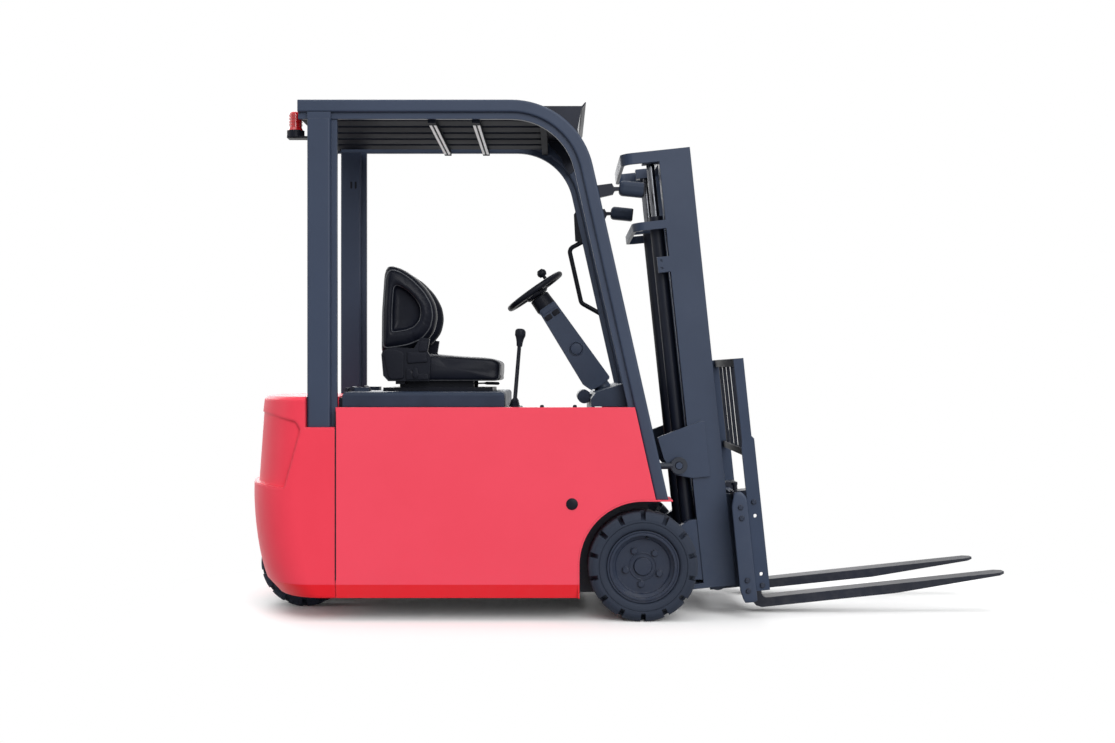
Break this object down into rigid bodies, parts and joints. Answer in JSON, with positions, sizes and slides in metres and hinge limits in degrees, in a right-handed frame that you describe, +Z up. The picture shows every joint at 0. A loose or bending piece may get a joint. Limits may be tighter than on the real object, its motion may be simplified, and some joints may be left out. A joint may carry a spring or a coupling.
{
  "type": "forklift truck",
  "caption": "Counterbalance electric forklift with an overhead guard, seat and steering wheel, a tilting mast with lift chains and carriage, a pair of forks and a steered rear twin wheel.",
  "frame": {"origin": "floor level, at the middle of the truck's length and width", "axes": "+X forward along the forks, +Y to the operator's left, +Z up"},
  "size_m": [3.2741, 1.07, 2.177],
  "materials": {
    "red_paint": "semi-gloss",
    "dark_paint": "satin",
    "black_steel": "satin",
    "battery_case": "satin",
    "black_plastic": "matte",
    "mat": "matte",
    "seat_cover": "satin",
    "tyre": "matte",
    "chrome": "polished",
    "steel": "satin",
    "chain": "oiled",
    "red_lens": "gloss",
    "pale_pane": "gloss"
  },
  "bodies": {
    "truck": {"chassis_frame": "black_steel", "rear_beam": "black_steel", "side_panel_right": "red_paint", "side_panel_left": "red_paint", "fenders": "red_paint", "counterweight": "red_paint", "battery": "battery_case", "floor_plate": "mat", "guard_rails": "dark_paint", "guard_posts": "dark_paint", "roof_cross_members": "dark_paint", "roof_slats": "dark_paint", "roof_visor": "black_steel", "visor_pane": "pale_pane", "head_lamps": "black_plastic", "lamp_brackets": "black_steel", "beacon_base": "black_plastic", "beacon_lens": "red_lens", "grab_handle": "black_plastic", "dash_cowl": "black_plastic", "steering_column": "black_plastic", "lever_console": "black_plastic", "control_levers": "black_plastic", "pedals": "black_steel", "drive_axle": "black_steel", "steer_bearing": "black_steel", "tilt_brackets": "black_steel"},
    "hood": {"hood": "black_plastic", "seat_frame": "black_plastic", "seat_cushion": "seat_cover", "seat_back": "seat_cover"},
    "steering_wheel": {"steering_wheel": "black_plastic"},
    "front_wheel_left": {"front_rim_left": "dark_paint", "front_tyre_left": "tyre"},
    "front_wheel_right": {"front_rim_right": "dark_paint", "front_tyre_right": "tyre"},
    "steer_unit": {"steer_knuckle": "black_steel"},
    "rear_wheels": {"rear_rims": "dark_paint", "rear_tyres": "tyre"},
    "outer_mast": {"outer_mast": "dark_paint", "lift_barrels": "black_steel"},
    "inner_mast": {"inner_mast": "dark_paint", "lift_rods": "chrome", "chain_sheaves": "steel", "lift_chains": "chain"},
    "carriage": {"carriage": "dark_paint", "fork_left": "black_steel", "fork_right": "black_steel", "load_backrest": "dark_paint"},
    "tilt_barrels": {"tilt_barrels": "black_steel"},
    "tilt_rods": {"tilt_rods": "chrome"}
  },
  "joints": [
    {"name": "front_left_spin", "type": "hinge", "parent": "truck", "child": "front_wheel_left", "pos_m": [0.05617, 0.445, 0.229], "axis": [0, 1, 0], "continuous": true},
    {"name": "front_right_spin", "type": "hinge", "parent": "truck", "child": "front_wheel_right", "pos_m": [0.05617, -0.445, 0.229], "axis": [0, 1, 0], "continuous": true},
    {"name": "rear_steer", "type": "hinge", "parent": "truck", "child": "steer_unit", "pos_m": [-1.41983, 0, 0.4], "axis": [0, 0, 1], "range_deg": [-85, 85]},
    {"name": "rear_spin", "type": "hinge", "parent": "steer_unit", "child": "rear_wheels", "pos_m": [-1.41983, 0, 0.195], "axis": [0, 1, 0], "continuous": true},
    {"name": "steering_wheel_turn", "type": "hinge", "parent": "truck", "child": "steering_wheel", "pos_m": [-0.40183, 0, 1.4035], "axis": [-0.5764, 0, 0.8171], "range_deg": [-680, 680]},
    {"name": "mast_tilt", "type": "hinge", "parent": "truck", "child": "outer_mast", "pos_m": [0.05617, 0, 0.229], "axis": [0, 1, 0], "range_deg": [0, 9]},
    {"name": "mast_lift", "type": "slide", "parent": "outer_mast", "child": "inner_mast", "axis": [-0.1045, 0, 0.9945], "range_m": [0, 1.49]},
    {"name": "carriage_lift", "type": "slide", "parent": "inner_mast", "child": "carriage", "axis": [-0.1045, 0, 0.9945], "range_m": [0, 1.49], "deforming": ["lift_chains"]},
    {"name": "tilt_barrel_swing", "type": "hinge", "parent": "truck", "child": "tilt_barrels", "pos_m": [-0.09383, 0, 0.632], "axis": [0, 1, 0], "range_deg": [0, 5]},
    {"name": "tilt_rod_slide", "type": "slide", "parent": "tilt_barrels", "child": "tilt_rods", "axis": [0.9997, 0, 0.023], "range_m": [0, 0.064]},
    {"name": "hood_open", "type": "hinge", "parent": "truck", "child": "hood", "pos_m": [-1.19383, 0, 0.967], "axis": [0, -1, 0], "range_deg": [0, 60]}
  ],
  "couplings": [
    {"joint": "steering_wheel_turn", "follows": "rear_steer", "ratio": -8},
    {"joint": "carriage_lift", "follows": "mast_lift", "ratio": 1},
    {"joint": "tilt_barrel_swing", "follows": "mast_tilt", "ratio": 0.54093},
    {"joint": "tilt_rod_slide", "follows": "mast_tilt", "m_per_rad": 0.39985}
  ]
}
